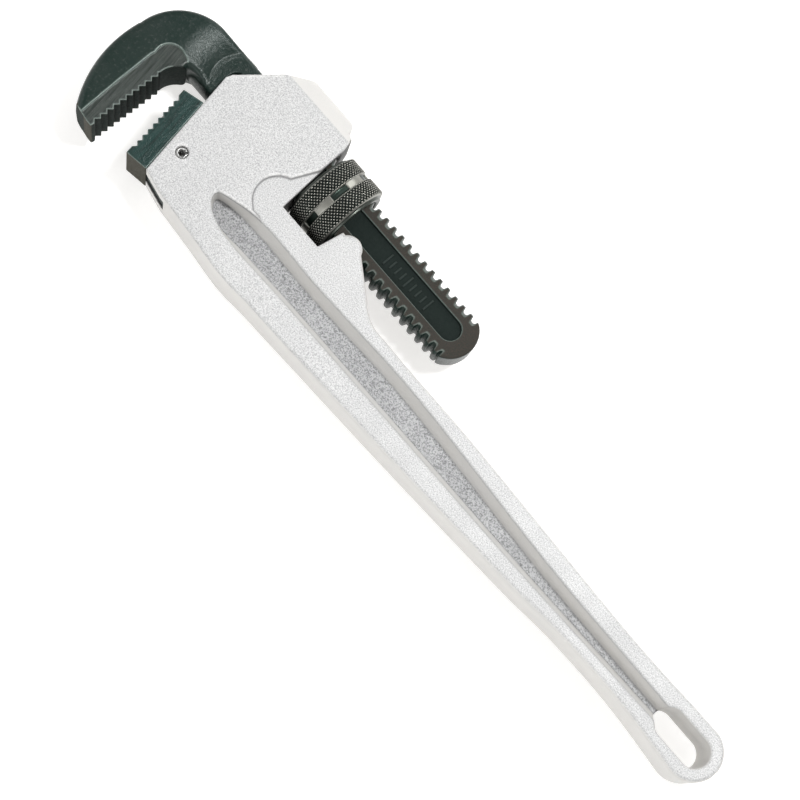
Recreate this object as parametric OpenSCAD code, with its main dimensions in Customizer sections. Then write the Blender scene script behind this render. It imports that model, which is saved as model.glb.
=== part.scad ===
// Straight pipe wrench, 18 inch size, lying on its broad side.
// +X runs along the shank towards the hook, +Y is the side on which the mouth opens,
// +Z is up through the thickness. The shank's axis is at Y = 0, and the origin is on the
// housing's lower flat face, under that axis.

/* [Handle] */
// Thickness of the housing
housing_t = 26; // [24:0.5:28]
// Thickness of the grip
grip_t = 24; // [22:0.5:24.5]
// Thickness of the grip's web between its two long grooves
web_t = 8; // [6:0.5:10]
// Width of the hanging hole
hole_w = 14; // [10:0.5:15]
// Length of the hanging hole
hole_l = 29.6; // [24:0.2:30]

/* [Hook jaw] */
// Thickness of the forged head
hook_t = 24; // [22:0.5:24]
// Radius over the crests of the shank's thread
crest_r = 13.6; // [13.2:0.1:13.7]
// Thickness of the shank
shank_t = 14.2; // [13:0.2:14.4]
// Pitch of the thread
pitch = 5.2; // [5:0.1:5.4]
// Height of the thread
thread_h = 2.2; // [1.8:0.1:2.3]
// Height of the hook's teeth
hook_tooth_h = 1.7; // [1.2:0.05:2]

/* [Heel jaw] */
// Thickness of the toothed block
heel_t = 25.4; // [23:0.2:26]
// Thickness of the tang
tang_t = 10; // [8:0.5:12]
// Height of the heel's teeth
heel_tooth_h = 1.6; // [1.2:0.05:2]
// Diameter of the spring pin
pin_d = 6; // [5:0.1:6.2]

/* [Adjusting nut] */
// Radius over the knurl
nut_r = 19.4; // [18.5:0.1:19.6]
// Length of the nut
nut_l = 23.2; // [22:0.1:23.3]
// Width of each knurled band
band_w = 8.3; // [7:0.1:8.6]
// Width of the smooth groove between the bands
groove_w = 3.2; // [2.4:0.1:4]

/* [Springs] */
// Thickness of the leaf spring
leaf_t = 1.2; // [1:0.1:1.3]
// Mean radius of the coil spring
coil_r = 3.1; // [2.8:0.1:3.3]

/* [Hidden] */
$fn = 96;

mid_z = housing_t / 2;
far = 60;

// Housing and window
back_y = -31.5;
back_section = [[12, 26], [-18.5, 26], [-27.6, 18.6], [-30.6, 15.6], [back_y, 13]];
seat_mouth = [21.4, 57.9];
seat_inner = [32.2, 3.1];
top_inner = [31.2, 0.2];
top_back = [8, -29.8];
window_y = 22.2;
window_top = [[-29.2, window_y], [-26.4, -16]];
window_foot = [[-52.6, window_y], [-54.9, 6]];

// Slot that the shank slides and rocks in
slot_t = shank_t + 0.7;
slot_back_y = -(crest_r + 0.6);
slot_front = [[-30, 17], [36, 20.2]];
spur_slot_y = crest_r + 0.7;

// Grip
grip_end_x = -338.8;
hole_y = 42.9;
hole_end_x = -332.6;
groove_d = (grip_t - web_t) / 2;

// Heel jaw and its pin
heel_edge = [[32.8, 59.8], [39.3, 21.5]];
heel_foot = [[29.2, 18.6], [21.6, 58]];
heel_tips = [[33.4, 56.1], [38.7, 25]];
heel_n = 9;
tang_gap = 0.15;
tang_x = 7;
tang_y = [34, 61.6];
pin_xy = [17.5, 40.9];

// Hook teeth, from the innermost tip to the outermost
hook_tips = [[51.1, 26.3], [51.8, 61.9]];
hook_n = 10;
hook_lean = 0.62;
tooth_land = 0.12;

// Shank
shank_end_x = -131.2;
thread_from = -20;
thread_gap = 2.7;
gaps = floor((thread_from - shank_end_x - crest_r / 2) / pitch);
root_r = crest_r - thread_h;
helix = atan(pitch / (2 * PI * (crest_r - thread_h / 2)));
panel_w = 10.8;
panel_d = 1.2;

// Nut
nut_x = -41.1;
collar_r = 16.6;
groove_r = nut_r - 0.8;
bore_r = crest_r + 0.5;
ridge_r = root_r + 0.35;
ridge_w = [2.0, 1.1];
nut_turns = 3;

// Springs
leaf_y = crest_r + 0.4;
leaf_x = [-22, 25.5];
leaf_w = 10;
coil_x = 0;
coil_wire = 1.1;
coil_y = [leaf_y + leaf_t + 0.85, 30];
coil_turns = 7;
pocket_r = 4.7;
rivet_r = 1.5;

function arc(c, r, a0, a1, n = 12) =
    [for (i = [0:n]) c + r * [cos(a0 + (a1 - a0) * i / n), sin(a0 + (a1 - a0) * i / n)]];

// Extrudes a child of the XY plane symmetrically about the middle of the thickness
module slab(t) {
    translate([0, 0, mid_z - t / 2]) linear_extrude(t) children();
}

module along_x(x0, x1, r) {
    translate([x0, 0, mid_z]) rotate([0, 90, 0]) cylinder(r = r, h = x1 - x0);
}

module grip_outline() {
    polygon(concat(
        [seat_mouth, [9, 60.3], [-14, 62.2], [-30, 63.8], [-43, 64], [-71, 62.8], [-114, 61.4],
         [-160, 59.6], [-219, 56.7], [-255, 54.0], [-275, 53.8], [-295, 54.4], [-313, 55.4]],
        arc([-324.6, 42.4], 14.2, 86, 170, 10),
        arc([-325.4, 42.6], 13.4, 190, 262, 8),
        [[-312, 29.3], [-290, 30.2], [-262, 30.1], [-215, 28.7], [-160, 27.1], [-112, 27.0]],
        arc([-100.4, 4.2], 22.8, 96, 48, 8),
        arc([-61.9, 12.4], 6.6, 205, 330, 10),
        [window_foot[1], window_foot[0], window_top[0], window_top[1], [-10, -16], [24, 20]]));
}

module housing_outline() {
    polygon(concat(
        [seat_inner, seat_mouth, [9, 60.3], [-14, 62.2], [-30, 63.8], [-33, 52]],
        arc([-24.7, 42], 8.5, 200, 285, 6),
        arc([-26.2, 22.2], 11.6, 60, -68, 10),
        [[-27.6, -2], window_top[1], [-24.6, -22]],
        arc([-12.5, -22.5], 9, 190, 270, 6),
        [[5, back_y]],
        arc([5, -27.5], 4, 270, 310, 3),
        [top_back, top_inner]));
}

module housing_block() {
    lower = [for (i = [len(back_section) - 2:-1:0]) [back_section[i][0], housing_t - back_section[i][1]]];
    intersection() {
        linear_extrude(housing_t) housing_outline();
        union() {
            translate([-far, 0, 0]) cube([2 * far, 2 * far, housing_t]);
            translate([-far, 0, 0]) rotate([90, 0, 90]) linear_extrude(2 * far)
                polygon(concat(back_section, lower));
        }
    }
}

module groove_outline() {
    polygon(concat(
        arc([-15, 43.2], 8.6, 110, -25, 10),
        [[-20, 36.2], [-34, 35.8], [-134, 35.4], [-221, 37.8], [hole_end_x + 8, hole_y - 4],
         [hole_end_x + 8, hole_y + 4], [-303, 47.4], [-211, 49.5], [-106, 50.4], [-34, 50.9], [-24, 51.2]]));
}

module hanging_hole() {
    x0 = hole_end_x + hole_w / 2;
    x1 = hole_end_x + hole_l - hole_w / 2;
    for (x = [x0, x1]) translate([x, hole_y, -1]) cylinder(d = hole_w, h = housing_t + 2);
    translate([x0, hole_y - hole_w / 2, -1]) cube([x1 - x0, hole_w, housing_t + 2]);
}

module shank_slot() {
    slab(slot_t) polygon([[-30, slot_back_y], [40, slot_back_y], [40, slot_front[1][1]],
                          slot_front[1], slot_front[0]]);
    slab(slot_t) polygon([[-50, slot_back_y], [-50, spur_slot_y], [-100, spur_slot_y],
                          [-100, slot_back_y]]);
}

module tang_outline(grow) {
    up = grow > 0 ? 9 : 0;
    polygon([[seat_inner[0] + 6, tang_y[0] - grow], [tang_x - grow, tang_y[0] - grow],
             [tang_x - grow, tang_y[1] + up], [heel_foot[1][0], heel_foot[1][1] + 0.3 + up],
             [heel_foot[1][0] + 6, heel_foot[1][1] + up]]);
}

module handle() {
    color("gainsboro") difference() {
        union() {
            slab(grip_t) grip_outline();
            housing_block();
        }
        for (z = [-1, mid_z + web_t / 2])
            translate([0, 0, z]) linear_extrude(groove_d + 2 + (housing_t - grip_t) / 2) groove_outline();
        hanging_hole();
        shank_slot();
        intersection() {
            slab(tang_t + 2 * tang_gap) tang_outline(tang_gap);
            linear_extrude(housing_t) polygon([seat_inner, [0, 3], [0, 80], [24, 80], seat_mouth]);
        }
        translate([pin_xy[0], pin_xy[1], -1]) cylinder(d = pin_d, h = housing_t + 2);
        translate([coil_x, 10, mid_z]) rotate([-90, 0, 0]) cylinder(r = pocket_r, h = coil_y[1] - 10);
    }
}

// Cuts n notches into a child between the tips a and b, to the right of that direction
module toothed(a, b, n, h, lean) {
    d = b - a;
    u = d / norm(d);
    v = [u[1], -u[0]];
    p = norm(d) / n;
    w = tooth_land / 2;
    difference() {
        children();
        for (i = [0:n - 1])
            polygon([a + (i * p + w) * u, a + (i + lean) * p * u + h * v, a + ((i + 1) * p - w) * u,
                     a + ((i + 1) * p - w) * u - v, a + (i * p + w) * u - v]);
    }
}

module heel_jaw() {
    color("darkslategray") difference() {
        union() {
            slab(heel_t) toothed(heel_tips[0], heel_tips[1], heel_n, heel_tooth_h, 0.5)
                polygon([heel_edge[0], heel_tips[0], heel_tips[1], heel_edge[1], heel_foot[0], heel_foot[1]]);
            slab(tang_t) tang_outline(0);
        }
        translate([pin_xy[0], pin_xy[1], -1]) cylinder(d = pin_d, h = housing_t + 2);
    }
}

module heel_jaw_pin() {
    wall = 1.2;
    slit = 1.2;
    color("dimgray") translate([pin_xy[0], pin_xy[1], 0.4]) difference() {
        cylinder(d = pin_d, h = housing_t - 0.8);
        translate([0, 0, -1]) cylinder(d = pin_d - 2 * wall, h = housing_t + 2);
        rotate(225) translate([0, -slit / 2, -1]) cube([pin_d, slit, housing_t + 2]);
    }
}

module head_outline() {
    polygon(concat(
        [[52.2, 63.9], [55, 63.9], [65.4, 62.4]],
        arc([18, 22], 62.3, 38, -8, 14),
        arc([51.5, 13.2], 27.8, 0, -90, 14),
        [[28.6, -14.6]],
        arc([27, -1.5], 13, -72, 45, 10),
        [[36.4, 11.6]],
        arc([40.4, 23.9], 11.8, -98, 2, 12),
        [hook_tips[0] + [1.6, -1.4], hook_tips[0], hook_tips[1]]));
}

module thread_gaps() {
    top = thread_gap / 2 + 0.35;
    foot = thread_gap / 2 - 0.35;
    difference() {
        for (side = [1, -1], i = [0:gaps - 1])
            translate([thread_from - i * pitch - (side < 0 ? pitch / 2 : 0), 0, mid_z])
                rotate([0, side * helix, 0]) translate([0, 0, -10]) linear_extrude(20)
                    polygon([[-foot, side * 6], [foot, side * 6], [foot, side * root_r],
                             [top, side * 15], [-top, side * 15], [-foot, side * root_r]]);
        along_x(shank_end_x - 20, 20, root_r);
    }
}

module shank() {
    end_x = shank_end_x + crest_r;
    difference() {
        intersection() {
            slab(shank_t) union() {
                translate([end_x, 0]) circle(r = crest_r);
                translate([end_x, -crest_r]) square([46 - end_x, 2 * crest_r]);
            }
            along_x(shank_end_x - 1, 47, crest_r);
        }
        thread_gaps();
        for (z = [mid_z - shank_t / 2 - 1, mid_z + shank_t / 2 - panel_d])
            translate([0, 0, z]) linear_extrude(1 + panel_d) {
                for (x = [end_x, 28]) translate([x, 0]) circle(d = panel_w);
                translate([end_x, -panel_w / 2]) square([28 - end_x, panel_w]);
            }
    }
}

module hook_jaw() {
    color("darkslategray") {
        slab(hook_t) toothed(hook_tips[0], hook_tips[1], hook_n, hook_tooth_h, hook_lean) head_outline();
        shank();
    }
}

// Helical thread ridge inside the nut's bore
module nut_ridge() {
    seg = 28;
    n = nut_turns * seg;
    x_mid = thread_from - pitch * round((thread_from - nut_x) / pitch);
    r_out = bore_r + 0.3;
    pts = [for (i = [0:n]) let (f = 360 * i / seg, x = x_mid + pitch * (i / seg - nut_turns / 2))
        each [for (c = [[-ridge_w[0] / 2, r_out], [ridge_w[0] / 2, r_out],
                        [ridge_w[1] / 2, ridge_r], [-ridge_w[1] / 2, ridge_r]])
            [x + c[0], c[1] * cos(f + 180 * nut_turns), mid_z + c[1] * sin(f + 180 * nut_turns)]]];
    sides = [for (i = [0:n - 1], k = [0:3]) let (m = (k + 1) % 4)
        [4 * i + k, 4 * i + m, 4 * i + 4 + m, 4 * i + 4 + k]];
    polyhedron(pts, concat(sides, [[3, 2, 1, 0], [4 * n, 4 * n + 1, 4 * n + 2, 4 * n + 3]]), convexity = 8);
}

module nut_body() {
    g = groove_w / 2;
    e = g + band_w;
    c = 0.8;
    half = [[g, groove_r], [g + 0.4, nut_r - 0.2], [g + c, nut_r], [e - c, nut_r],
            [e, collar_r + 0.6], [e, collar_r], [nut_l / 2 - 0.4, collar_r],
            [nut_l / 2, collar_r - 0.4], [nut_l / 2, bore_r]];
    translate([nut_x, 0, mid_z]) rotate([0, 90, 0]) rotate_extrude()
        polygon(concat([for (p = half) [p[1], p[0]]],
                       [for (i = [len(half) - 1:-1:0]) [half[i][1], -half[i][0]]]));
}

module adjusting_nut() {
    color("rosybrown") union() {
        nut_body();
        nut_ridge();
    }
}

module leaf_spring() {
    color("slategray") difference() {
        translate([leaf_x[0], leaf_y, mid_z - leaf_w / 2])
            cube([leaf_x[1] - leaf_x[0], leaf_t, leaf_w]);
        translate([coil_x, 10, mid_z]) rotate([-90, 0, 0]) cylinder(r = rivet_r, h = 10);
    }
}

module spring_rivet() {
    color("silver") translate([coil_x, leaf_y, mid_z]) rotate([-90, 0, 0]) {
        cylinder(r = rivet_r, h = leaf_t + 3);
        translate([0, 0, leaf_t]) cylinder(r = coil_r + 0.6, h = 0.7);
    }
}

module coil_spring() {
    seg = 16;
    ring = 8;
    n = coil_turns * seg;
    y0 = coil_y[0] + coil_wire / 2;
    rise = coil_y[1] - coil_y[0] - coil_wire - 0.1;
    function turn(i) = 360 * i / seg;
    pts = [for (i = [0:n], k = [0:ring - 1]) let (a = 360 * k / ring, r = coil_r + coil_wire / 2 * cos(a))
        [coil_x + r * cos(turn(i)), y0 + rise * i / n + coil_wire / 2 * sin(a), mid_z + r * sin(turn(i))]];
    sides = [for (i = [0:n - 1], k = [0:ring - 1]) let (m = (k + 1) % ring)
        [ring * i + k, ring * i + ring + k, ring * i + ring + m, ring * i + m]];
    caps = [[for (k = [0:ring - 1]) k], [for (k = [ring - 1:-1:0]) ring * n + k]];
    color("silver") polyhedron(pts, concat(sides, caps), convexity = 10);
}

handle();
hook_jaw();
heel_jaw();
heel_jaw_pin();
adjusting_nut();
leaf_spring();
coil_spring();
spring_rivet();
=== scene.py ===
"""Looks of a straight pipe wrench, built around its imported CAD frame.

The castings and forgings are signed-distance shapes in millimetres, meshed with surface nets.
The knurled nut, the spring pin and the coil spring are lofted grids.
"""

import math

import bpy
import numpy as np
from mathutils import Matrix, Vector


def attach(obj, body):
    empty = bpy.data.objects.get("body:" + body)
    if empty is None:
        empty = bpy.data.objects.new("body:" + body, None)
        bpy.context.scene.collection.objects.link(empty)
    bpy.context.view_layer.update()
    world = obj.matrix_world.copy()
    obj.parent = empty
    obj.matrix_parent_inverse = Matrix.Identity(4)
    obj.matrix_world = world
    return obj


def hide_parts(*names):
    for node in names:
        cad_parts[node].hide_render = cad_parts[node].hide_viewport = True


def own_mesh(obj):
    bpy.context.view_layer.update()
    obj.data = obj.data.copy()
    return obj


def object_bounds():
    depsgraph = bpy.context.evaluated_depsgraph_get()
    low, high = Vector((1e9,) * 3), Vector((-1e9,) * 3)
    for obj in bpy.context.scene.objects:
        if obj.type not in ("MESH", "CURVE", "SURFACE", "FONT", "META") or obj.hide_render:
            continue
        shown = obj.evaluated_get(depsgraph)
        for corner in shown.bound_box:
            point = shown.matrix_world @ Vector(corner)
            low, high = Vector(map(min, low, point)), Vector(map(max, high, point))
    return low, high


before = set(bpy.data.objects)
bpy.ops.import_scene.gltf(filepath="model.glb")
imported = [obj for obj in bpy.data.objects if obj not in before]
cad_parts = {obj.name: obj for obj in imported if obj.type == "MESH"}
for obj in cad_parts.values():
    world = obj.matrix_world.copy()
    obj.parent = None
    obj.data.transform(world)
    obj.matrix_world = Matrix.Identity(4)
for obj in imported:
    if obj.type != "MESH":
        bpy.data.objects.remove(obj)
cad_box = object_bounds()

MM = 0.001
MID = 13.0
TAU = 2 * math.pi


# ---------------------------------------------------------------- outlines


def arc(cx, cy, r, a0, a1, n=16):
    """Points on an arc from a0 to a1 degrees."""
    turn = np.radians(np.linspace(a0, a1, n + 1))
    return [(cx + r * math.cos(a), cy + r * math.sin(a)) for a in turn]


def flowing(points, n=5):
    """An open smooth curve through the points, with n steps between neighbours."""
    p = np.array(points, float)
    p = np.vstack([2 * p[0] - p[1], p, 2 * p[-1] - p[-2]])
    out = []
    for i in range(1, len(p) - 2):
        for t in np.arange(n) / n:
            a, b, c, d = p[i - 1], p[i], p[i + 1], p[i + 2]
            spot = 2 * b + (c - a) * t
            spot = spot + (2 * a - 5 * b + 4 * c - d) * t * t
            spot = spot + (3 * b - 3 * c + d - a) * t ** 3
            out.append(0.5 * spot)
    out.append(p[-2])
    return [tuple(q) for q in out]


def toothed(a, b, n, depth, lean):
    """Points along a toothed edge from tip a to tip b, with its gaps to the right."""
    a, b = np.array(a, float), np.array(b, float)
    u = (b - a) / np.linalg.norm(b - a)
    v = np.array([u[1], -u[0]])
    p = np.linalg.norm(b - a) / n
    out = [tuple(a)]
    for i in range(n):
        gap = a + (i + lean) * p * u + depth * v
        out += [tuple(gap), tuple(a + (i + 1) * p * u)]
    return out


# ---------------------------------------------------------------- signed distances


def smax(a, b, k):
    """Larger of two distances, with the corner rounded over k."""
    h = np.clip(0.5 + 0.5 * (a - b) / k, 0, 1)
    return b + (a - b) * h + k * h * (1 - h)


def smin(a, b, k):
    """Smaller of two distances, with the corner rounded over k."""
    return -smax(-a, -b, k)


def ease(t):
    """Smooth step of t from 0 to 1."""
    t = np.clip(t, 0, 1)
    return t * t * (3 - 2 * t)


def inside(x, y, outline):
    """Signed distance to a closed outline, negative inside it."""
    p = np.array(outline, np.float32)
    q = np.roll(p, -1, axis=0)
    keep = np.abs(q - p).sum(1) > 1e-6
    p, q = p[keep], q[keep]
    d2 = np.full(np.broadcast(x, y).shape, 1e9, np.float32)
    odd = np.zeros(d2.shape, bool)
    for (ax, ay), (bx, by) in zip(p, q):
        ex, ey = bx - ax, by - ay
        wx, wy = x - ax, y - ay
        t = np.clip((wx * ex + wy * ey) / (ex * ex + ey * ey), 0, 1)
        d2 = np.minimum(d2, (wx - ex * t) ** 2 + (wy - ey * t) ** 2)
        if ay != by:
            crosses = ((ay <= y) & (by > y)) | ((by <= y) & (ay > y))
            odd ^= crosses & (x < ax + (y - ay) * ex / ey)
    return np.where(odd, -1, 1) * np.sqrt(d2)


def plate(flat, z, half, r):
    """A flat outline's distance made into a plate with edges rounded to r."""
    a, b = flat + r, np.abs(z - MID) - half + r
    return np.minimum(np.maximum(a, b), 0) + np.hypot(np.maximum(a, 0), np.maximum(b, 0)) - r


def near(d):
    """1 on an outline, fading to 0 half a millimetre beside it."""
    return np.clip(1.25 - np.abs(d) / 0.4, 0, 1)


def bar(x, y, ax, bx, cy, half):
    """A flat bar along X with round ends."""
    return np.hypot(x - np.clip(x, ax, bx), y - cy) - half


# ---------------------------------------------------------------- meshes


def surface_nets(field, lo, hi, step):
    """Meshes the zero surface of a field inside a box: points and four-sided faces."""
    axes = [np.arange(a, b + step, step, dtype=np.float32) for a, b in zip(lo, hi)]
    x, y = np.meshgrid(axes[0], axes[1], indexing="ij")
    f = field(x[..., None], y[..., None], axes[2][None, None, :]).astype(np.float32)
    neg = f < 0
    total = np.zeros(tuple(n - 1 for n in f.shape), np.int8)
    corners = [(i, j, k) for i in (0, 1) for j in (0, 1) for k in (0, 1)]
    nx, ny, nz = total.shape
    for i, j, k in corners:
        total += neg[i : i + nx, j : j + ny, k : k + nz]
    cells = np.argwhere((total > 0) & (total < 8))
    index = np.full(total.shape, -1, np.int64)
    index[tuple(cells.T)] = np.arange(len(cells))
    value = {c: f[tuple((cells + c).T)] for c in corners}
    point = np.zeros((len(cells), 3))
    count = np.zeros(len(cells))
    for c in corners:
        for axis in range(3):
            if c[axis]:
                continue
            d = tuple(v + (n == axis) for n, v in enumerate(c))
            a, b = value[c], value[d]
            hit = (a < 0) != (b < 0)
            t = np.where(hit, a / np.where(hit, a - b, 1), 0)
            point += np.where(hit[:, None], np.array(c) + t[:, None] * np.eye(3)[axis], 0)
            count += hit
    point = np.array(lo) + step * (cells + point / count[:, None])
    faces = []
    for axis in range(3):
        u, v = (axis + 1) % 3, (axis + 2) % 3
        a = [slice(1, -1)] * 3
        b = [slice(1, -1)] * 3
        a[axis], b[axis] = slice(0, -1), slice(1, None)
        first, second = neg[tuple(a)], neg[tuple(b)]
        flips = np.argwhere(first != second)
        outward = first[tuple(flips.T)]
        flips[:, u] += 1
        flips[:, v] += 1
        quad = []
        for du, dv in ((-1, -1), (0, -1), (0, 0), (-1, 0)):
            c = flips.copy()
            c[:, u] += du
            c[:, v] += dv
            quad.append(index[tuple(c.T)])
        quad = np.stack(quad, 1)
        quad[~outward] = quad[~outward][:, ::-1]
        faces.append(quad)
    return settle(field, point, step), np.vstack(faces)


def settle(field, p, step):
    """Moves points onto the field's zero surface."""
    e = 0.05 * step
    for _ in range(2):
        x, y, z = (p[:, i].astype(np.float64) for i in range(3))
        d = field(x, y, z)
        g = np.stack([field(x + e, y, z) - d, field(x, y + e, z) - d, field(x, y, z + e) - d], 1) / e
        move = -(d / np.maximum((g ** 2).sum(1), 0.25))[:, None] * g
        far = np.linalg.norm(move, axis=1, keepdims=True)
        p = p + move * np.minimum(1, 0.6 * step / np.maximum(far, 1e-9))
    return p


def mesh_piece(name, points, faces, smooth=True):
    """A mesh object in metres from points in millimetres and faces of equal size."""
    mesh = bpy.data.meshes.new(name)
    n, k = faces.shape
    mesh.vertices.add(len(points))
    mesh.vertices.foreach_set("co", (np.asarray(points) * MM).astype(np.float32).ravel())
    mesh.loops.add(n * k)
    mesh.loops.foreach_set("vertex_index", faces.astype(np.int32).ravel())
    mesh.polygons.add(n)
    mesh.polygons.foreach_set("loop_start", np.arange(0, n * k, k, dtype=np.int32))
    mesh.update(calc_edges=True)
    mesh.polygons.foreach_set("use_smooth", np.full(n, smooth))
    mesh.validate()
    piece = bpy.data.objects.new(name, mesh)
    bpy.context.scene.collection.objects.link(piece)
    return piece


def rings(points, looped=True):
    """Faces of a grid of points, shape (rows, columns, 3), with every row closed round."""
    rows, cols = points.shape[:2]
    i, j = np.meshgrid(np.arange(rows if looped else rows - 1), np.arange(cols), indexing="ij")
    this, following = i * cols, (i + 1) % rows * cols
    right = (j + 1) % cols
    corners = ((this, j), (this, right), (following, right), (following, j))
    return np.stack([(row + column).ravel() for row, column in corners], 1)


def mark(piece, name, values):
    """Stores one number per point for the material to read."""
    layer = piece.data.attributes.new(name, "FLOAT", "POINT")
    layer.data.foreach_set("value", np.asarray(values, np.float32))


# ---------------------------------------------------------------- handle

GRIP_HALF = 12.0
HOUSING_HALF = 13.0
WEB_HALF = 4.0
BACK_Y = -18.5
BACK_END = -31.5
BEVEL = (0.64, 0.77)
DRAFT = (0.10, 0.36)
HOLE_Y = 42.9
HOLE_X = (-325.6, -310.0)
HOLE_R = 7.0
SLOT_HALF = 7.45
SLOT_Y = (-14.2, 14.3)
TANG_SLOT_HALF = 5.15
PIN_XY = (17.5, 40.9)
PIN_BORE = 3.0
POCKET_R = 4.7
POCKET_Y = (10, 30)
HANDLE_STEP = 0.54
THINNING_X = (-30, -130)

FRONT = [(-14, 62.0), (-30, 63.6), (-41, 63.8), (-50, 63.1), (-71, 62.6), (-114, 61.3)]
GRIP_FRONT = [(-160, 59.5), (-219, 56.6), (-248, 54.2), (-275, 53.5), (-295, 54.1), (-312, 55.4)]
GRIP_BACK = [(-312, 29.5), (-290, 30.2), (-262, 30.1), (-215, 28.7), (-160, 27.1), (-118, 27.3)]
GRIP = (
    [(21.4, 57.9), (9, 60.3)]
    + flowing(FRONT + GRIP_FRONT)
    + arc(-324.4, 42.4, 14.2, 84, 172, 14)
    + arc(-325.2, 42.6, 13.4, 188, 260, 12)
    + flowing(GRIP_BACK)
    + arc(-100.4, 4.2, 22.8, 96, 48, 12)
    + arc(-61.9, 12.4, 6.6, 205, 330, 14)
    + [(-50, 6), (-26, -16), (-10, -16), (24, 20)]
)
WINDOW = (
    [(-57.6, -2), (-55.2, 7), (-52.6, 22.2), (-29.2, 22.2)]
    + [(-26.4, -16), (-24.4, -24), (-26, -50), (-57.6, -50)]
)
HOUSING = (
    [(32.2, 3.1), (21.4, 57.9), (9, 60.3)]
    + flowing(FRONT + [(-140, 60.3)])
    + [(-140, 43), (-33, 43)]
    + arc(-24.7, 42, 8.5, 200, 285, 10)
    + arc(-26.2, 22.2, 11.6, 60, -68, 20)
    + [(-27.6, -2), (-28, -16), (-26, -22)]
    + arc(-12.5, -22.5, 9, 190, 270, 12)
    + [(5, BACK_END)]
    + arc(5, -27.5, 4, 270, 310, 6)
    + [(8, -29.8), (31.2, 0.2)]
)
RECESS_NOSE = (
    [(-24, 51.0), (-18.5, 50.1), (-12, 48.1), (-8, 45.6), (-6.1, 42.6)]
    + [(-6.6, 40.2), (-9.2, 38.9), (-14, 37.4), (-20, 35.7), (-27, 34.3)]
)
RECESS_BACK = (
    [(-36, 33.6), (-63, 34.3), (-85, 33.8), (-134, 33.0)]
    + [(-221, 37.5), (-276, 38.3), (-330, 38.6)]
)
RECESS_FRONT = [(-303, 47.5), (-211, 49.5), (-131, 49.9), (-65, 50.4), (-34, 51.2)]
RECESS = flowing(RECESS_NOSE) + flowing(RECESS_BACK) + [(-330, 47.4)] + flowing(RECESS_FRONT)
SLOT = [(40, SLOT_Y[0]), (40, 20.2), (36, 20.2), (-30, 17), (-30, SLOT_Y[0])]
SPUR_SLOT = [(-50, SLOT_Y[0]), (-50, SLOT_Y[1]), (-100, SLOT_Y[1]), (-100, SLOT_Y[0])]
TANG_SLOT = [(38, 33.85), (6.85, 33.85), (6.85, 71), (38, 71)]


def recess_walls(x, y, tall):
    """Distance to the recess's drafted walls, which steepen towards its pointed end."""
    draft = DRAFT[0] + DRAFT[1] * ease((-9 - x) / 24)
    return inside(x, y, RECESS) + draft * np.maximum(GRIP_HALF - tall, 0)


def pin_hole(x, y):
    """Distance to the bore of the heel jaw's pin, negative inside it."""
    return np.hypot(x - PIN_XY[0], y - PIN_XY[1]) - PIN_BORE


def housing(x, y, z):
    """The thick plate round the jaws, bevelled at its back, which thins out along the grip."""
    tall = np.abs(z - MID)
    thin = ease((THINNING_X[0] - x) / (THINNING_X[0] - THINNING_X[1]))
    half, edge = HOUSING_HALF - thin * 1.1, 0.6 + thin * 1.2
    body = plate(inside(x, y, HOUSING) + 0.2 * thin, z, half, edge)
    bevel = (BACK_Y - y) * BEVEL[0] + (tall - HOUSING_HALF) * BEVEL[1]
    return smax(body, smax(bevel, BACK_END - y, 5.0), 0.4)


def spring_pocket(x, y, z):
    """The blind round pocket of the coil spring, negative inside it."""
    middle, half = (POCKET_Y[0] + POCKET_Y[1]) / 2, (POCKET_Y[1] - POCKET_Y[0]) / 2
    return smax(np.hypot(x, z - MID) - POCKET_R, np.abs(y - middle) - half, 0.3)


def handle_field(x, y, z):
    """The whole casting: grip and housing, less the window, recesses, hole, slots and bores."""
    tall = np.abs(z - MID)
    grip = plate(inside(x, y, GRIP), z, GRIP_HALF, 1.8)
    d = smin(grip, housing(x, y, z), 0.3)
    d = smax(d, -inside(x, y, WINDOW), 0.7)
    walls = recess_walls(x, y, tall)
    d = smax(d, -smax(walls, WEB_HALF - tall, 0.6), 0.4)
    d = smax(d, -bar(x, y, HOLE_X[0], HOLE_X[1], HOLE_Y, HOLE_R), 1.4)
    slot = np.minimum(inside(x, y, SLOT), inside(x, y, SPUR_SLOT))
    d = smax(d, -np.maximum(slot, tall - SLOT_HALF), 0.6)
    d = smax(d, -np.maximum(inside(x, y, TANG_SLOT), tall - TANG_SLOT_HALF), 0.4)
    d = smax(d, -pin_hole(x, y), 0.5)
    return smax(d, -spring_pocket(x, y, z), 0.3)


def cast_handle():
    """The casting, with its web and top face marked, and the painted shade on its window walls, tang
    slot, window step and recess rim.
    """
    points, faces = surface_nets(handle_field, (-340, -33, -1), (33.5, 66, 27), HANDLE_STEP)
    piece = mesh_piece("handle_cast", points, faces)
    x, y, z = points.T
    tall = np.abs(z - MID)
    walls = recess_walls(x, y, tall)
    web = np.clip((WEB_HALF + 1.0 - tall) / 0.8, 0, 1) * (walls < 0.6) * (x > HOLE_X[0])
    mark(piece, "web", web)
    # painted shade: the window walls beside the nut and the tang slot made nearly black
    window = (np.abs(inside(x, y, WINDOW)) < 0.5) * np.clip((11.2 - tall) / 0.8, 0, 1)
    tang = (inside(x, y, TANG_SLOT) < 0.4) & (tall < TANG_SLOT_HALF + 0.45)
    mark(piece, "painted_gap_shade", np.maximum(window, tang))
    # painted shade: a dark line along the step beside the window and round the recess rim
    stepped = (tall > GRIP_HALF - 0.4) * (x < -12) * (y > -20) * (y < 44)
    painted_shade_line = near(inside(x, y, HOUSING) / 1.5) * stepped
    rim = 0.5 * near((walls - 0.2) / 1.2) * (tall > GRIP_HALF - 0.7) * (x > HOLE_X[0])
    mark(piece, "painted_shade_line", np.maximum(painted_shade_line, rim))
    mark(piece, "face", np.clip((tall - 11.4) / 0.5, 0, 1))
    return piece


# ---------------------------------------------------------------- hook jaw

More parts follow.
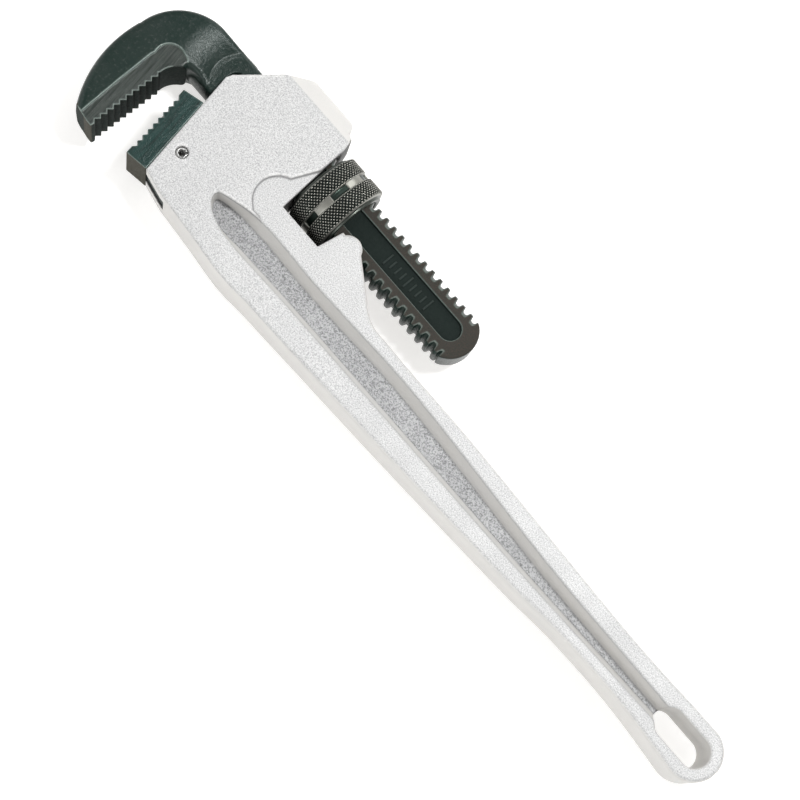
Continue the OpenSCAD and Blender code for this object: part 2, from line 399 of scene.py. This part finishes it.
CREST_R = 13.6
ROOT_R = 11.4
PITCH = 5.2
THREAD_X = (-123.5, -20.0)
SHANK_HALF = 7.1
SHANK_END = -131.2
SHANK_TOP = 47
PANEL_HALF = 5.4
PANEL_DEPTH = 1.7
PANEL_END = 28
DRAW = 0.05
PAD_HALF = 12.0
BEND_XY = (27, -1.5)
CLIMB = (14, 31)
CROWN_RISE = 5.6
ARCH = 0.0006
ARCH_X = 58
GAP_HALF = 1.35
GAP_FLARE = 0.32
HOOK_STEP = 0.42
TICKS = 9
TICK_START = -76.0
TICK_PITCH = 3.4

HEAD = (
    [(44, 72), (57, 72)]
    + arc(15.1, 24.4, 62.3, 47, -8, 30)
    + arc(48.6, 15.8, 28.0, 0, -90, 24)
    + [(28.6, -13.5)]
    + arc(*BEND_XY, 10, -80, 60, 24)
    + [(34.5, 11.0)]
    + arc(40.4, 23.9, 12.2, -108, -60, 12)
    + [(44, 20)]
)
JAW_EDGE = (
    [(100, -40), (10, -40), (10, 11), (37.5, 11.9)]
    + arc(40.4, 23.9, 11.8, -98, 2, 24)
    + [(52.7, 24.9)]
    + toothed((51.1, 26.3), (51.8, 61.9), 10, 1.7, 0.62)
    + [(52.0, 64.0), (55, 63.9), (65.4, 62.3), (100, 57)]
)
PAD = (
    [(40, 66), (52.2, 65.2), (59.4, 62.9)]
    + [(60.5, 40), (61.0, 22)]
    + arc(54.2, 17.2, 7.0, 25, -100, 16)
    + arc(52.0, 16.4, 6.0, -115, -170, 6)
    + [(44, 18), (40, 30)]
)


def thread_gap(x, y, z):
    """Distance into the helical gap of the shank's thread, negative inside it."""
    r = np.hypot(y, z - MID)
    phase = (x - THREAD_X[1]) / PITCH - np.arctan2(z - MID, y) / TAU
    off = np.abs(phase - np.round(phase)) * PITCH
    side = off - (GAP_HALF + GAP_FLARE * (r - (CREST_R + ROOT_R) / 2))
    gap = smax(side, ROOT_R - r, 0.7)
    return smax(gap, np.maximum(x - THREAD_X[1] - 2.5, THREAD_X[0] - x), 0.5)


def panel_outline(x, y):
    """Distance to the sunk panel along the shank, negative inside it."""
    return bar(x, y, SHANK_END + CREST_R, PANEL_END, 0, PANEL_HALF)


def hook_head(x, y, z):
    """The toothed hook: a crowned block that climbs from the shank's thickness, with ground pads."""
    tall = np.abs(z - MID)
    outer = inside(x, y, HEAD) + DRAW * tall
    reach = np.hypot(x - BEND_XY[0], y - BEND_XY[1])
    climb = np.clip((CLIMB[1] - reach) / (CLIMB[1] - CLIMB[0]), 0, 1)
    crown = SHANK_HALF + 0.3 + CROWN_RISE * (1 - climb ** 2)
    arched = crown - ARCH * (x - ARCH_X) ** 2
    head = smax(outer, tall - arched, 3.8)
    head = smax(head, inside(x, y, JAW_EDGE), 0.35)
    return smax(head, -smax(inside(x, y, PAD), PAD_HALF - tall, 0.25), 0.25)


def hook_shank(x, y, z):
    """The flat shank with a round end, a helical thread on its edges and a panel in each face."""
    tall = np.abs(z - MID)
    end_x = SHANK_END + CREST_R
    tip = np.hypot(np.minimum(x - end_x, 0), y) - CREST_R
    shank = smax(smax(tip, np.hypot(y, z - MID) - CREST_R, 0.8), tall - SHANK_HALF, 1.0)
    shank = smax(shank, x - SHANK_TOP, 0.5)
    shank = smax(shank, -thread_gap(x, y, z), 0.45)
    panel = smax(panel_outline(x, y), SHANK_HALF - PANEL_DEPTH - tall, 0.4)
    return smax(shank, -panel, 0.3)


def hook_field(x, y, z):
    """The whole forging."""
    return smin(hook_head(x, y, z), hook_shank(x, y, z), 0.5)


def forged_hook():
    """The forging, with its ground pads, rails and panels marked, the tooth walls and throat marked
    for painted shade, and light edge lines that are partly wear and partly painted highlight.
    """
    points, faces = surface_nets(hook_field, (-132, -16, -0.5), (81.5, 65.5, 26.5), HOOK_STEP)
    piece = mesh_piece("hook_forging", points, faces)
    x, y, z = points.T
    tall = np.abs(z - MID)
    pad = (inside(x, y, PAD) < 0.2) & (np.abs(tall - PAD_HALF) < 0.25) & (x > 40) & (y > 5)
    nose = (y > 61.5) & (x > 50) & (tall < PAD_HALF)
    mark(piece, "ground", pad)
    mark(piece, "nose", nose & ~pad)
    jaw, round_pad = inside(x, y, JAW_EDGE), inside(x, y, PAD)
    # the tooth walls and throat, which the material darkens as painted shade
    mark(piece, "wall", near(jaw) * (tall < PAD_HALF - 0.6) * (y > 12) * (y < 63.5))
    # light edge lines along the teeth, pad, thread and panel: partly wear, partly painted highlight
    line = near(jaw) * (tall > PAD_HALF - 0.5) * (y > 18)
    line = np.maximum(line, near(round_pad - 0.2) * (tall > PAD_HALF - 0.3) * (jaw < 0) * (x > 43))
    flat = (tall > SHANK_HALF - 0.35) & (x < THREAD_X[1])
    panel = panel_outline(x, y)
    line = np.maximum(line, 0.7 * near(thread_gap(x, y, z)) * flat)
    line = np.maximum(line, 0.6 * near(panel) * flat)
    mark(piece, "edge", line)
    mark(piece, "rail", flat & (panel > 0.3))
    mark(piece, "panel", (tall < SHANK_HALF - 0.8) & (panel < 0.2) & (tall > 4) & (x < 30))
    return piece


def shank_marks():
    """Raised graduation ticks on the shank's upper panel."""
    low = MID + SHANK_HALF - PANEL_DEPTH - 0.1
    top = low + 0.6
    quads = [(0, 1, 5, 4), (1, 2, 6, 5), (2, 3, 7, 6), (3, 0, 4, 7), (4, 5, 6, 7), (3, 2, 1, 0)]
    points, faces = [], []
    for i in range(TICKS):
        x, half = TICK_START - TICK_PITCH * i, 3.4 if i % 4 == 0 else 2.3
        ring = [(-0.55, -half), (0.55, -half), (0.55, half), (-0.55, half)]
        faces += [[len(points) + q for q in f] for f in quads]
        points += [(x + a, b, low) for a, b in ring]
        points += [(x + a * 0.55, b * 0.93, top) for a, b in ring]
    piece = mesh_piece("shank_marks", np.array(points, float), np.array(faces), False)
    mark(piece, "panel", np.ones(len(points)))
    # painted sheen on the ticks' tops
    mark(piece, "edge", np.tile([0] * 4 + [0.12] * 4, TICKS))
    return piece


# ---------------------------------------------------------------- heel jaw

HEEL_HALF = 12.7
TANG_HALF = 5.0
HEEL_STEP = 0.35
HEEL = (
    [(29.2, 18.6), (21.6, 58), (32.8, 59.8)]
    + toothed((33.4, 56.1), (38.7, 25), 9, 1.6, 0.5)
    + [(39.3, 21.5)]
)
TANG = [(38, 34), (7, 34), (7, 59.8), (21.6, 57.0), (28, 57)]


def heel_field(x, y, z):
    """The toothed block and its thinner tang, with the pin's bore."""
    tall = np.abs(z - MID)
    block = smax(inside(x, y, HEEL), tall - HEEL_HALF, 0.3)
    tang = smax(inside(x, y, TANG), tall - TANG_HALF, 0.4)
    return smax(np.minimum(block, tang), -pin_hole(x, y), 0.3)


def forged_heel():
    """The heel jaw, with its lined faces, bare end and light edge lines, partly wear and partly
    painted highlight, marked.
    """
    points, faces = surface_nets(heel_field, (6, 17.5, -0.5), (41, 63, 26.5), HEEL_STEP)
    piece = mesh_piece("heel_block", points, faces)
    x, y, z = points.T
    tall = np.abs(z - MID)
    front = (y > 57.5) & (x > 21)
    mark(piece, "lined", tall > HEEL_HALF - 0.2)
    mark(piece, "nose", front & (tall < HEEL_HALF - 0.1))
    # light edge line along the teeth: partly wear, partly painted highlight
    mark(piece, "edge", 0.8 * near(inside(x, y, HEEL)) * (tall > HEEL_HALF - 0.4))
    return piece


# ---------------------------------------------------------------- nut

NUT_X = -41.1
NUT_R = 19.4
NUT_HALF = 11.6
BAND = (1.6, 10.5)
GROOVE_R = 18.6
COLLAR_R = 16.6
BORE_R = 14.1
RIDGE_R = 11.75
KNURL_ROUND = 64
KNURL_DEPTH = 0.55
NUT_STEPS = 784
DIPS = 6
DIP_DEPTH = 0.9


def nut_profile():
    """Half of the nut's profile, middle to end: distance along X, radius, share of knurl."""
    g, e = BAND
    out = [(0, GROOVE_R, 0), (0.8, GROOVE_R, 0), (g - 0.25, GROOVE_R, 0), (g, GROOVE_R - 0.05, 0)]
    out += [(g + 0.12, NUT_R - 0.45, 0), (g + 0.35, NUT_R - 0.12, 0.3)]
    out += [(s, NUT_R, 1) for s in np.linspace(g + 0.6, e - 1.0, 46)]
    out += [(e - 0.75, NUT_R - 0.12, 0.7), (e - 0.45, NUT_R - 0.55, 0.3), (e - 0.2, NUT_R - 1.2, 0)]
    out += [(e, COLLAR_R + 0.7, 0), (e + 0.05, COLLAR_R + 0.1, 0), (e + 0.25, COLLAR_R, 0)]
    out += [(NUT_HALF - 0.4, COLLAR_R, 0), (NUT_HALF - 0.1, COLLAR_R - 0.15, 0)]
    out += [(NUT_HALF, COLLAR_R - 0.45, 0), (NUT_HALF, BORE_R + 0.5, 0), (NUT_HALF - 0.3, BORE_R, 0)]
    return out


def knurled_nut():
    """The nut: diamond knurl on two bands, grip dips in the groove and a thread in the bore."""
    half = nut_profile()
    bore = [(s, BORE_R, -1) for s in np.linspace(NUT_HALF - 0.8, -NUT_HALF + 0.8, 90)]
    rows = [(-s, r, k) for s, r, k in half[::-1]][:-1] + half + bore
    s, radius, kind = (np.array(c, float)[:, None] for c in zip(*rows))
    turn = np.linspace(0, TAU, NUT_STEPS, endpoint=False)[None, :]
    cell = TAU * NUT_R / KNURL_ROUND
    u = turn * KNURL_ROUND / TAU
    v = s / cell
    waves = [np.abs(((u + sign * v) % 1) - 0.5) * 2 for sign in (1, -1)]
    groove = np.clip((np.maximum(waves[0], waves[1]) - 0.35) / 0.65, 0, 1)
    r = radius - np.clip(kind, 0, 1) * KNURL_DEPTH * groove * 1.5
    phase = (NUT_X + s - THREAD_X[1]) / PITCH - turn / TAU
    ridge = np.clip((1.25 - np.abs(phase - np.round(phase)) * PITCH) / 0.5, 0, 1)
    r = np.where(kind < 0, radius - (BORE_R - RIDGE_R) * ridge, r)
    away = np.abs(((turn - TAU / 4) * DIPS / TAU + 0.5) % 1 - 0.5) * 360 / DIPS
    dip = np.clip((15.0 - away) / 1.2, 0, 1) * (np.abs(s) < BAND[0] - 0.2) * (kind == 0)
    r = r - DIP_DEPTH * dip
    grid = np.stack([NUT_X + s + 0 * turn, r * np.cos(turn), MID + r * np.sin(turn)], -1)
    piece = mesh_piece("adjusting_nut_knurled", grid.reshape(-1, 3), rings(grid)[:, ::-1])
    # painted shade: the dips and the end collars darkened
    collar = (kind <= 0) & (np.abs(s) > BAND[1] - 0.1)
    mark(piece, "dip", np.maximum(dip, 0.8 * collar + 0 * turn).ravel())
    # the knurl's grooves, which the material darkens as painted shade
    mark(piece, "knurl", (groove * np.clip(kind, 0, 1)).ravel())
    return piece


# ---------------------------------------------------------------- pin and springs


PIN_WALL = [(1.55, 1.2), (1.9, 0.75), (2.3, 0.75), (2.95, 1.7)]
PIN_SLOT = (235, 575)
COIL_R = 3.1
COIL_Y = (16.6, 29.35)
COIL_TURNS = 7.0
WIRE_R = 0.55


def spring_pin():
    """A slotted tube with chamfered ends, its wall given as radius and height."""
    section = PIN_WALL + [(r, 2 * MID - z) for r, z in PIN_WALL[::-1]]
    r, z = np.array(section).T
    a = np.radians(np.linspace(*PIN_SLOT, 60))[:, None]
    grid = np.stack([PIN_XY[0] + r * np.cos(a), PIN_XY[1] + r * np.sin(a), z + 0 * a], -1)
    n, last = len(section), (len(a) - 1) * len(section)
    strip = [(i, i + 1, n - 2 - i, n - 1 - i) for i in range(n // 2 - 1)]
    caps = strip + [[last + q for q in f[::-1]] for f in strip]
    return mesh_piece("roll_pin", grid.reshape(-1, 3), np.vstack([rings(grid, looped=False), caps]))


def coil():
    """The compression spring behind the leaf spring, with its wire as a swept tube."""
    t = np.linspace(0, 1, 260)
    a = TAU * COIL_TURNS * t
    y = COIL_Y[0] + (COIL_Y[1] - COIL_Y[0]) * t
    centre = np.stack([COIL_R * np.cos(a), y, MID + COIL_R * np.sin(a)], 1)[:, None]
    out = np.stack([np.cos(a), 0 * a, np.sin(a)], 1)[:, None]
    ring = np.linspace(0, TAU, 12, endpoint=False)[None, :, None]
    along = np.array([0.0, 1.0, 0.0])
    grid = centre + WIRE_R * (np.cos(ring) * out + np.sin(ring) * along)
    return mesh_piece("coil_wire", grid.reshape(-1, 3), rings(grid, looped=False))


# ---------------------------------------------------------------- materials


class Paint:
    """A small helper that builds one procedural material."""

    def __init__(self, name, colour, metallic, roughness):
        self.material = bpy.data.materials.new(name)
        self.material.use_nodes = True
        self.tree = self.material.node_tree
        self.shader = self.tree.nodes["Principled BSDF"]
        self.shader.inputs["Base Color"].default_value = (*colour, 1)
        self.shader.inputs["Metallic"].default_value = metallic
        self.shader.inputs["Roughness"].default_value = roughness
        self.place = self.tree.nodes.new("ShaderNodeTexCoord").outputs["Object"]
        self.colour = None
        self.normal = None

    def link(self, a, b):
        """Joins an output to an input."""
        self.tree.links.new(a, b)

    def node(self, kind, **values):
        """Adds a node with some of its properties set."""
        n = self.tree.nodes.new(kind)
        for key, value in values.items():
            setattr(n, key, value)
        return n

    def stretched(self, scale, turn=0.0):
        """Object coordinates turned about Z and scaled."""
        n = self.node("ShaderNodeMapping")
        n.inputs["Rotation"].default_value = (0, 0, math.radians(turn))
        n.inputs["Scale"].default_value = tuple(1 / v for v in scale)
        n.vector_type = "TEXTURE"
        self.link(self.place, n.inputs["Vector"])
        return n.outputs["Vector"]

    def noise(self, scale, detail=2.0, rough=0.5, where=None):
        """Noise from 0 to 1, with scale counted per metre."""
        n = self.node("ShaderNodeTexNoise")
        n.inputs["Scale"].default_value = scale
        n.inputs["Detail"].default_value = detail
        n.inputs["Roughness"].default_value = rough
        self.link(where or self.place, n.inputs["Vector"])
        return n.outputs["Fac"]

    def span(self, value, a, b, low=0.0, high=1.0):
        """Maps a..b to low..high, clamped."""
        n = self.node("ShaderNodeMapRange")
        for i, v in zip((1, 2, 3, 4), (a, b, low, high)):
            n.inputs[i].default_value = v
        self.link(value, n.inputs[0])
        return n.outputs[0]

    def attribute(self, name):
        """The number that mark() stored under a name, or 0 where there is none."""
        n = self.node("ShaderNodeAttribute", attribute_name=name)
        return n.outputs["Fac"]

    def math(self, operation, a, b):
        """One sum of two values, each a number or an output."""
        n = self.node("ShaderNodeMath", operation=operation)
        for socket, v in zip(n.inputs, (a, b)):
            if isinstance(v, (int, float)):
                socket.default_value = v
            else:
                self.link(v, socket)
        return n.outputs[0]

    def tint(self, share, colour, amount=1.0):
        """Lays a colour over what is there, by share times amount."""
        if amount != 1.0:
            share = self.math("MULTIPLY", share, amount)
        n = self.node("ShaderNodeMix", data_type="RGBA")
        self.link(share, n.inputs["Factor"])
        if self.colour is None:
            n.inputs["A"].default_value = self.shader.inputs["Base Color"].default_value
        else:
            self.link(self.colour, n.inputs["A"])
        n.inputs["B"].default_value = (*colour, 1)
        self.colour = n.outputs["Result"]
        self.link(self.colour, self.shader.inputs["Base Color"])

    def bump(self, height, strength, distance):
        """Adds relief to what is there, with distance in metres."""
        n = self.node("ShaderNodeBump")
        n.inputs["Strength"].default_value = strength
        n.inputs["Distance"].default_value = distance
        self.link(height, n.inputs["Height"])
        if self.normal is not None:
            self.link(self.normal, n.inputs["Normal"])
        self.normal = n.outputs["Normal"]
        self.link(self.normal, self.shader.inputs["Normal"])

    def roughen(self, value):
        """Sets the roughness from an output."""
        self.link(value, self.shader.inputs["Roughness"])

    def edges(self):
        """Convex edges, from 0 to 1."""
        n = self.node("ShaderNodeNewGeometry")
        return self.span(n.outputs["Pointiness"], 0.52, 0.60)

    def creases(self):
        """Concave corners, from 0 to 1."""
        n = self.node("ShaderNodeNewGeometry")
        return self.span(n.outputs["Pointiness"], 0.48, 0.42)


def cast_alloy():
    """Sand-cast light alloy: pitted faces, a darker speckled web, painted shade in the window, tang
    slot, concave corners and along the step and recess rim, and painted highlights on convex edges.
    """
    p = Paint("cast_alloy", (0.600, 0.588, 0.565), 0.10, 0.5)
    grain, fine, patch = p.noise(1800, 3.0, 0.6), p.noise(3200, 2.0, 0.6), p.noise(60, 3.0, 0.5)
    face, web = p.attribute("face"), p.attribute("web")
    p.tint(face, (0.575, 0.575, 0.57))
    p.tint(p.span(patch, 0.35, 0.75), (0.54, 0.54, 0.545), 0.25)
    pitted = p.math("ADD", p.math("MULTIPLY", face, 0.8), 0.08)
    p.tint(p.math("MULTIPLY", p.span(grain, 0.60, 0.34), pitted), (0.26, 0.26, 0.265))
    p.tint(web, (0.37, 0.375, 0.385), 0.85)
    speckles = p.span(p.noise(1500, 3.0, 0.7), 0.42, 0.64, 0.0, 0.8)
    p.tint(p.math("MULTIPLY", web, speckles), (0.05, 0.052, 0.055))
    # painted shade: dark lines along the step beside the window and round the recess rim
    p.tint(p.attribute("painted_shade_line"), (0.20, 0.20, 0.20), 0.75)
    # painted shade: window walls and tang slot nearly black
    p.tint(p.attribute("painted_gap_shade"), (0.012, 0.014, 0.013), 0.95)
    # painted shade in concave corners
    p.tint(p.creases(), (0.15, 0.15, 0.15), 0.3)
    # painted highlight on convex edges
    p.tint(p.edges(), (0.78, 0.77, 0.75), 0.3)
    p.bump(grain, 0.35, 0.00035)
    p.bump(fine, 0.2, 0.0002)
    p.roughen(p.span(patch, 0.3, 0.7, 0.45, 0.60))
    return p.material


def forged_steel():
    """Dark green-black forging with ground pads, lined faces, brown rails, tooth walls and throat
    darkened as painted shade, and edges lightened partly by wear and partly by painted highlight.
    """
    p = Paint("forged_steel", (0.008, 0.020, 0.016), 0.15, 0.36)
    p.shader.inputs["Specular IOR Level"].default_value = 0.34
    hammer, fine, patch = p.noise(700, 4.0, 0.6), p.noise(2600, 2.0, 0.6), p.noise(45, 3.0, 0.5)
    panel, rail, nose, wall = (p.attribute(name) for name in ("panel", "rail", "nose", "wall"))
    lined, ground = p.attribute("lined"), p.attribute("ground")
    p.tint(p.span(patch, 0.42, 0.70, 0.0, 0.6), (0.020, 0.030, 0.026))
    p.tint(p.span(hammer, 0.56, 0.78, 0.0, 0.6), (0.065, 0.070, 0.063))
    p.tint(panel, (0.003, 0.009, 0.007))
    p.tint(p.math("MULTIPLY", rail, p.span(fine, 0.35, 0.65, 0.35, 0.95)), (0.044, 0.033, 0.027))
    lines = p.noise(300, 3.0, 0.65, p.stretched((5.0, 0.25, 1.0), 10))
    scratch = p.span(lines, 0.45, 0.66)
    p.tint(lined, (0.013, 0.038, 0.034))
    p.tint(p.math("MULTIPLY", lined, scratch), (0.004, 0.010, 0.008), 0.8)
    p.tint(ground, (0.046, 0.054, 0.049))
    p.tint(p.math("MULTIPLY", ground, scratch), (0.014, 0.020, 0.017), 0.8)
    p.tint(nose, (0.046, 0.042, 0.030), 0.9)
    # painted shade: tooth walls and throat near black
    p.tint(wall, (0.002, 0.009, 0.006))
    # edges lightened: partly wear, partly painted highlight
    wear_and_highlight = p.math("MULTIPLY", p.attribute("edge"), p.span(fine, 0.3, 0.6, 0.45, 0.9))
    p.tint(wear_and_highlight, (0.22, 0.27, 0.245))
    p.bump(hammer, 0.32, 0.0006)
    p.bump(fine, 0.30, 0.00025)
    p.bump(p.math("MULTIPLY", lines, p.math("ADD", ground, lined)), 0.2, 0.0003)
    dull = p.math("MAXIMUM", p.math("MAXIMUM", wall, nose), p.math("MAXIMUM", panel, rail))
    shine = p.span(hammer, 0.35, 0.65, 0.29, 0.36)
    p.roughen(p.math("ADD", shine, p.math("MULTIPLY", dull, 0.5)))
    return p.material


def nut_steel():
    """Turned steel, with painted shade making the knurl's grooves, the dips and the end collars
    nearly black.
    """
    p = Paint("nut_steel", (0.29, 0.29, 0.262), 0.75, 0.28)
    patch = p.noise(180, 3.0, 0.5)
    p.tint(p.span(patch, 0.4, 0.7, 0.0, 0.5), (0.15, 0.14, 0.125))
    # painted shade: the knurl's grooves nearly black
    p.tint(p.span(p.attribute("knurl"), 0.10, 0.50), (0.005, 0.010, 0.008))
    # painted shade in the dips and on the end collars
    p.tint(p.span(p.attribute("dip"), 0.3, 0.9), (0.015, 0.025, 0.02))
    turned = p.noise(60, 2.0, 0.5, p.stretched((60.0, 1.0, 1.0)))
    p.bump(turned, 0.12, 0.0002)
    p.roughen(p.span(patch, 0.3, 0.7, 0.28, 0.42))
    return p.material


def bright_steel(name, colour, roughness):
    """Bare steel with darker patches of the same colour."""
    p = Paint(name, colour, 0.9, roughness)
    patch = p.noise(700, 3.0, 0.6)
    p.tint(p.span(patch, 0.4, 0.75, 0.0, 0.6), tuple(0.45 * c for c in colour))
    p.bump(p.noise(1800, 2.0, 0.6), 0.15, 0.0001)
    p.roughen(p.span(patch, 0.3, 0.7, roughness - 0.06, roughness + 0.1))
    return p.material


def floor_paint():
    """A pale floor that glows a little, like a light table."""
    p = Paint("studio_floor", (0.60, 0.60, 0.60), 0.0, 0.9)
    p.tint(p.span(p.noise(3, 2.0, 0.5), 0.3, 0.7, 0.0, 0.15), (0.57, 0.57, 0.57))
    p.shader.inputs["Emission Color"].default_value = (1, 0.985, 0.96, 1)
    p.shader.inputs["Emission Strength"].default_value = 0.62
    return p.material


# ---------------------------------------------------------------- studio


FLOOR_REACH = 6000.0
SURROUND = 0.26
LAMPS = (
    ("key", (0.20, -1.15, 0.80), 0.9, 6.5),
    ("side", (-0.35, 1.20, 0.75), 1.0, 8.5),
    ("end", (-1.25, -0.25, 0.75), 1.0, 1.8),
    ("head", (1.05, 0.35, 0.70), 1.0, 4.0),
    ("sheen", (-0.28, -0.32, 1.10), 0.22, 11.2),
)
LAMP_AIM = (-0.1, 0.02, 0.01)
CAMERA_PLACE = (-0.1833, 0.2445, 0.8803)
CAMERA_AIM = (-0.1271, 0.0367, 0.013)
CAMERA_UP = (0.7543, -0.6257, 0.1988)
SENSOR_WIDTH = 36.0
LENS = 90.98


def studio():
    """A pale glowing floor under the wrench, a bright even surround and the lamps."""
    z = cad_box[0][2] / MM
    corner = np.array([(-1, -1), (1, -1), (1, 1), (-1, 1)]) * FLOOR_REACH
    points = np.array([(x, y, z) for x, y in corner])
    floor = mesh_piece("studio_floor", points, np.array([[0, 1, 2, 3]]), False)
    floor.data.materials.append(floor_paint())
    world = bpy.data.worlds.new("studio")
    world.use_nodes = True
    background = world.node_tree.nodes["Background"]
    background.inputs["Color"].default_value = (1, 1, 1, 1)
    background.inputs["Strength"].default_value = SURROUND
    bpy.context.scene.world = world
    for name, place, size, power in LAMPS:
        lamp(name, place, size, power)
    bpy.context.scene.view_settings.view_transform = "Standard"


def lamp(name, place, size, power):
    """A round soft lamp, its place and size in metres and its power in watts, aimed at the wrench."""
    data = bpy.data.lights.new(name, "AREA")
    data.shape = "DISK"
    data.size = size
    data.energy = power
    light = bpy.data.objects.new(name, data)
    light.location = place
    light.rotation_euler = (Vector(LAMP_AIM) - Vector(place)).to_track_quat("-Z", "Y").to_euler()
    bpy.context.scene.collection.objects.link(light)


def photo_camera():
    """The photograph's viewpoint: nearly overhead, with the handle running to the lower right."""
    place = Vector(CAMERA_PLACE)
    back = (place - Vector(CAMERA_AIM)).normalized()
    right = Vector(CAMERA_UP).cross(back).normalized()
    up = back.cross(right)
    data = bpy.data.cameras.new("photo_camera")
    data.sensor_width = SENSOR_WIDTH
    data.lens = LENS
    camera = bpy.data.objects.new("photo_camera", data)
    turn = Matrix((right, up, back)).transposed().to_4x4()
    camera.matrix_world = Matrix.Translation(place) @ turn
    bpy.context.scene.collection.objects.link(camera)
    bpy.context.scene.camera = camera


# ---------------------------------------------------------------- assembly


def add(piece, body, material, slot, *nodes):
    """Gives a piece its material and body, and hides the CAD nodes it stands in for; slot is not
    used.
    """
    piece.data.materials.append(material)
    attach(piece, body)
    if nodes:
        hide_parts(*nodes)


def repaint(node, material):
    """Gives a carried-over CAD node its material."""
    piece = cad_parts[node]
    piece.data.materials.clear()
    piece.data.materials.append(material)


def build():
    """Makes every piece of the wrench."""
    alloy, forged, knurled = cast_alloy(), forged_steel(), nut_steel()
    pin = bright_steel("pin_steel", (0.55, 0.55, 0.54), 0.32)
    spring = bright_steel("spring_steel", (0.26, 0.29, 0.30), 0.36)
    add(cast_handle(), "handle", alloy, "cast_alloy", "handle")
    add(forged_heel(), "handle", forged, "forged_steel", "heel_jaw")
    add(spring_pin(), "handle", pin, "pin_steel", "heel_jaw_pin")
    wire = coil()
    add(wire, "handle", spring, "spring_steel", "coil_spring")
    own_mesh(wire)
    add(forged_hook(), "hook", forged, "forged_steel", "hook_jaw")
    add(shank_marks(), "hook", forged, "forged_steel")
    add(knurled_nut(), "nut", knurled, "nut_steel", "adjusting_nut")
    repaint("leaf_spring", spring)
    repaint("spring_rivet", pin)


build()
studio()
photo_camera()
bpy.context.view_layer.update()
